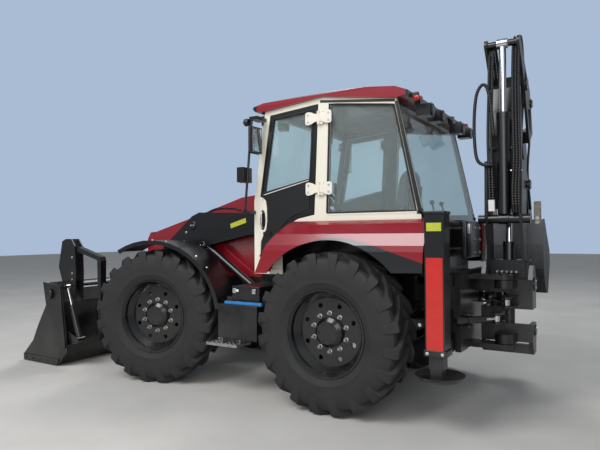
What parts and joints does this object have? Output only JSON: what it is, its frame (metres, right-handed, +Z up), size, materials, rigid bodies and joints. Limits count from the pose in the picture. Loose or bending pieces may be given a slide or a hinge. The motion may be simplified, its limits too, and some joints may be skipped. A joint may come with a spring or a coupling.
{
  "type": "backhoe loader",
  "caption": "Backhoe loader: clamshell front bucket with folding forks, hollow glazed cab, equal steered wheels, drop legs and a side-shift digging arm folded across the rear.",
  "frame": {"origin": "on the ground, midway between the front bucket lip and the rear of the folded digging arm, on the middle plane of the chassis", "axes": "+X forwards to the front bucket, +Y to the left of the machine, +Z up"},
  "size_m": [5.96, 2.6878, 3.2799],
  "materials": {
    "red_paint": "gloss",
    "cream_paint": "gloss",
    "black_paint": "semi-gloss",
    "rim_black": "gloss",
    "rod_chrome": "polished",
    "engine_iron": "painted",
    "step_aluminium": "satin",
    "window_glass": "clear",
    "cab_plastic": "grained",
    "seat_cloth": "woven",
    "worn_grey_paint": "matt",
    "tyre_rubber": "matt"
  },
  "bodies": {
    "chassis": {"chassis_frame": "black_paint", "rear_frame": "black_paint", "engine_block": "engine_iron", "axles": "black_paint", "side_tanks": "black_paint", "steps": "step_aluminium", "rear_fenders": "red_paint", "cab_frame": "cream_paint", "cab_roof": "red_paint", "cab_windows": "window_glass", "cab_interior": "cab_plastic", "seat": "seat_cloth", "mirrors": "black_paint"},
    "bonnet": {"bonnet": "red_paint", "front_cowl": "red_paint"},
    "left_door": {"door_left": "black_paint", "door_glass_left": "window_glass"},
    "right_door": {"door_right": "black_paint", "door_glass_right": "window_glass"},
    "arms": {"loader_arms": "black_paint"},
    "lift_cylinders": {"lift_barrels": "black_paint"},
    "lift_pistons": {"lift_rods": "rod_chrome"},
    "tilt_cylinders": {"tilt_barrels": "black_paint"},
    "tilt_pistons": {"tilt_rods": "rod_chrome"},
    "bucket": {"front_bucket": "black_paint"},
    "clam": {"bucket_clam": "black_paint"},
    "clam_cylinders": {"clam_barrels": "black_paint"},
    "clam_pistons": {"clam_rods": "rod_chrome"},
    "forks": {"pallet_forks": "black_paint"},
    "left_stabilizer": {"stabilizer_left": "black_paint"},
    "right_stabilizer": {"stabilizer_right": "black_paint"},
    "carriage": {"hoe_carriage": "black_paint"},
    "kingpost": {"hoe_kingpost": "black_paint"},
    "left_slew_cylinder": {"slew_barrel_left": "black_paint"},
    "left_slew_piston": {"slew_rod_left": "rod_chrome"},
    "right_slew_cylinder": {"slew_barrel_right": "black_paint"},
    "right_slew_piston": {"slew_rod_right": "rod_chrome"},
    "boom": {"hoe_boom": "black_paint"},
    "boom_cylinder": {"boom_barrel": "black_paint"},
    "boom_piston": {"boom_rod": "rod_chrome"},
    "dipper": {"hoe_dipper": "black_paint"},
    "dipper_cylinder": {"dipper_barrel": "black_paint"},
    "dipper_piston": {"dipper_rod": "rod_chrome"},
    "lever": {"bucket_lever": "black_paint"},
    "link": {"bucket_link": "black_paint"},
    "bucket_cylinder": {"bucket_barrel": "black_paint"},
    "bucket_piston": {"bucket_rod": "rod_chrome"},
    "digging_bucket": {"hoe_bucket": "worn_grey_paint"},
    "left_front_knuckle": {"knuckle_front_left": "black_paint"},
    "left_front_wheel": {"rim_front_left": "rim_black", "tyre_front_left": "tyre_rubber"},
    "right_front_knuckle": {"knuckle_front_right": "black_paint"},
    "right_front_wheel": {"rim_front_right": "rim_black", "tyre_front_right": "tyre_rubber"},
    "left_rear_knuckle": {"knuckle_rear_left": "black_paint"},
    "left_rear_wheel": {"rim_rear_left": "rim_black", "tyre_rear_left": "tyre_rubber"},
    "right_rear_knuckle": {"knuckle_rear_right": "black_paint"},
    "right_rear_wheel": {"rim_rear_right": "rim_black", "tyre_rear_right": "tyre_rubber"}
  },
  "joints": [
    {"name": "steer_front_left", "type": "hinge", "parent": "chassis", "child": "left_front_knuckle", "pos_m": [0.778, 0.82, 0.706], "axis": [0, 0, 1], "range_deg": [-32, 4]},
    {"name": "steer_rear_left", "type": "hinge", "parent": "chassis", "child": "left_rear_knuckle", "pos_m": [-1.4, 0.82, 0.706], "axis": [0, 0, 1], "range_deg": [-18, 18]},
    {"name": "wheel_front_left", "type": "hinge", "parent": "left_front_knuckle", "child": "left_front_wheel", "pos_m": [0.74171, 0.96554, 0.706], "axis": [-0.2419, 0.9703, 0], "continuous": true},
    {"name": "wheel_rear_left", "type": "hinge", "parent": "left_rear_knuckle", "child": "left_rear_wheel", "pos_m": [-1.4, 0.97, 0.706], "axis": [0, 1, 0], "continuous": true},
    {"name": "steer_front_right", "type": "hinge", "parent": "chassis", "child": "right_front_knuckle", "pos_m": [0.778, -0.82, 0.706], "axis": [0, 0, 1], "range_deg": [-32, 4]},
    {"name": "steer_rear_right", "type": "hinge", "parent": "chassis", "child": "right_rear_knuckle", "pos_m": [-1.4, -0.82, 0.706], "axis": [0, 0, 1], "range_deg": [-18, 18]},
    {"name": "wheel_front_right", "type": "hinge", "parent": "right_front_knuckle", "child": "right_front_wheel", "pos_m": [0.81429, -0.96554, 0.706], "axis": [-0.2419, 0.9703, 0], "continuous": true},
    {"name": "wheel_rear_right", "type": "hinge", "parent": "right_rear_knuckle", "child": "right_rear_wheel", "pos_m": [-1.4, -0.97, 0.706], "axis": [0, 1, 0], "continuous": true},
    {"name": "bonnet_hinge", "type": "hinge", "parent": "chassis", "child": "bonnet", "pos_m": [-0.19, 0, 2.03], "axis": [0, -1, 0], "range_deg": [0, 50]},
    {"name": "left_door_hinge", "type": "hinge", "parent": "chassis", "child": "left_door", "pos_m": [-1.212, 0.885, 1.9], "axis": [0, 0, 1], "range_deg": [0, 90]},
    {"name": "right_door_hinge", "type": "hinge", "parent": "chassis", "child": "right_door", "pos_m": [-1.212, -0.885, 1.9], "axis": [0, 0, -1], "range_deg": [0, 90]},
    {"name": "loader_lift", "type": "hinge", "parent": "chassis", "child": "arms", "pos_m": [-0.3, 0, 1.69], "axis": [0, -1, 0], "range_deg": [0, 70]},
    {"name": "lift_cylinder_swing", "type": "hinge", "parent": "chassis", "child": "lift_cylinders", "pos_m": [-0.15, 0, 0.985], "axis": [0, -1, 0], "range_deg": [0, 43]},
    {"name": "lift_piston_slide", "type": "slide", "parent": "lift_cylinders", "child": "lift_pistons", "axis": [0.833, 0, 0.5533], "range_m": [0, 0.67]},
    {"name": "bucket_tilt", "type": "hinge", "parent": "arms", "child": "bucket", "pos_m": [1.99, 0, 0.29], "axis": [0, 1, 0], "range_deg": [-20, 85]},
    {"name": "tilt_cylinder_swing", "type": "hinge", "parent": "arms", "child": "tilt_cylinders", "pos_m": [0.7, 0, 1.68], "axis": [0, 1, 0], "range_deg": [-1.1, 0.3]},
    {"name": "tilt_piston_slide", "type": "slide", "parent": "tilt_cylinders", "child": "tilt_pistons", "axis": [0.7605, 0, -0.6494], "range_m": [-0.084, 0.354]},
    {"name": "clam_open", "type": "hinge", "parent": "bucket", "child": "clam", "pos_m": [2.4, 0, 0.86], "axis": [0, 1, 0], "range_deg": [-50, 0]},
    {"name": "clam_cylinder_swing", "type": "hinge", "parent": "bucket", "child": "clam_cylinders", "pos_m": [1.96, 0, 0.33], "axis": [0, 1, 0], "range_deg": [0, 6.2]},
    {"name": "clam_piston_slide", "type": "slide", "parent": "clam_cylinders", "child": "clam_pistons", "axis": [0.361, 0, 0.9326], "range_m": [-0.174, 0]},
    {"name": "forks_fold", "type": "hinge", "parent": "bucket", "child": "forks", "pos_m": [2.38, 0, 1.44], "axis": [0, 1, 0], "range_deg": [0, 12]},
    {"name": "left_stabilizer_drop", "type": "slide", "parent": "chassis", "child": "left_stabilizer", "axis": [0, 0, -1], "range_m": [0, 0.41]},
    {"name": "right_stabilizer_drop", "type": "slide", "parent": "chassis", "child": "right_stabilizer", "axis": [0, 0, -1], "range_m": [0, 0.41]},
    {"name": "side_shift", "type": "slide", "parent": "chassis", "child": "carriage", "axis": [0, 1, 0], "range_m": [-0.85, 0.15]},
    {"name": "slew", "type": "hinge", "parent": "carriage", "child": "kingpost", "pos_m": [-2.73, 0.35, 0.9], "axis": [0, 0, -1], "range_deg": [0, 180]},
    {"name": "left_slew_cylinder_swing", "type": "hinge", "parent": "carriage", "child": "left_slew_cylinder", "pos_m": [-2.51, 0.67, 0.9], "axis": [0, 0, 1], "range_deg": [0, 20.2]},
    {"name": "left_slew_piston_slide", "type": "slide", "parent": "left_slew_cylinder", "child": "left_slew_piston", "axis": [-0.6541, -0.7564, 0], "range_m": [0, 0.197]},
    {"name": "right_slew_cylinder_swing", "type": "hinge", "parent": "carriage", "child": "right_slew_cylinder", "pos_m": [-2.51, 0.03, 0.9], "axis": [0, 0, 1], "range_deg": [-6.7, 0]},
    {"name": "right_slew_piston_slide", "type": "slide", "parent": "right_slew_cylinder", "child": "right_slew_piston", "axis": [-0.5162, 0.8564, 0], "range_m": [-0.249, 0]},
    {"name": "boom_lower", "type": "hinge", "parent": "kingpost", "child": "boom", "pos_m": [-2.73, 0.15, 1.12], "axis": [1, 0, 0], "range_deg": [0, 60]},
    {"name": "boom_cylinder_swing", "type": "hinge", "parent": "kingpost", "child": "boom_cylinder", "pos_m": [-2.73, 0.15, 0.72], "axis": [1, 0, 0], "range_deg": [0, 42.4]},
    {"name": "boom_piston_slide", "type": "slide", "parent": "boom_cylinder", "child": "boom_piston", "axis": [0, -0.0779, 0.997], "range_m": [-0.153, 0]},
    {"name": "dipper_out", "type": "hinge", "parent": "boom", "child": "dipper", "pos_m": [-2.73, -0.01, 2.92], "axis": [-1, 0, 0], "range_deg": [0, 85]},
    {"name": "dipper_cylinder_swing", "type": "hinge", "parent": "boom", "child": "dipper_cylinder", "pos_m": [-2.73, 0.3, 1.69], "axis": [-1, 0, 0], "range_deg": [0, 6.1]},
    {"name": "dipper_piston_slide", "type": "slide", "parent": "dipper_cylinder", "child": "dipper_piston", "axis": [0, -0.013, 0.9999], "range_m": [-0.564, 0]},
    {"name": "digging_bucket_dump", "type": "hinge", "parent": "dipper", "child": "digging_bucket", "pos_m": [-2.73, -0.73, 1.32], "axis": [-1, 0, 0], "range_deg": [0, 135]},
    {"name": "lever_swing", "type": "hinge", "parent": "dipper", "child": "lever", "pos_m": [-2.73, -0.593, 1.624], "axis": [-1, 0, 0], "range_deg": [0, 56.7]},
    {"name": "link_swing", "type": "hinge", "parent": "lever", "child": "link", "pos_m": [-2.73, -0.884, 1.413], "axis": [-1, 0, 0], "range_deg": [0, 2.8]},
    {"name": "bucket_cylinder_swing", "type": "hinge", "parent": "dipper", "child": "bucket_cylinder", "pos_m": [-2.73, -0.255, 2.789], "axis": [-1, 0, 0], "range_deg": [0, 8.53]},
    {"name": "bucket_piston_slide", "type": "slide", "parent": "bucket_cylinder", "child": "bucket_piston", "axis": [0, -0.4157, -0.9095], "range_m": [-0.277, 0]}
  ],
  "couplings": [
    {"joint": "steer_front_right", "follows": "steer_front_left", "ratio": 1},
    {"joint": "steer_rear_right", "follows": "steer_rear_left", "ratio": 1},
    {"joint": "lift_cylinder_swing", "follows": "loader_lift", "ratio": 0.606},
    {"joint": "lift_piston_slide", "follows": "loader_lift", "m_per_rad": 0.544},
    {"joint": "tilt_cylinder_swing", "follows": "bucket_tilt", "ratio": -0.012},
    {"joint": "tilt_piston_slide", "follows": "bucket_tilt", "m_per_rad": 0.238},
    {"joint": "clam_cylinder_swing", "follows": "clam_open", "ratio": -0.122},
    {"joint": "clam_piston_slide", "follows": "clam_open", "m_per_rad": 0.198},
    {"joint": "left_slew_cylinder_swing", "follows": "slew", "ratio": 0.112},
    {"joint": "left_slew_piston_slide", "follows": "slew", "m_per_rad": 0.0623},
    {"joint": "right_slew_cylinder_swing", "follows": "slew", "ratio": -0.037},
    {"joint": "right_slew_piston_slide", "follows": "slew", "m_per_rad": -0.079},
    {"joint": "boom_cylinder_swing", "follows": "boom_lower", "ratio": 0.706},
    {"joint": "boom_piston_slide", "follows": "boom_lower", "m_per_rad": -0.145},
    {"joint": "dipper_cylinder_swing", "follows": "dipper_out", "ratio": 0.071},
    {"joint": "dipper_piston_slide", "follows": "dipper_out", "m_per_rad": -0.38},
    {"joint": "lever_swing", "follows": "digging_bucket_dump", "ratio": 0.42},
    {"joint": "link_swing", "follows": "digging_bucket_dump", "ratio": 0.02},
    {"joint": "bucket_cylinder_swing", "follows": "digging_bucket_dump", "ratio": 0.063},
    {"joint": "bucket_piston_slide", "follows": "digging_bucket_dump", "m_per_rad": -0.117}
  ]
}
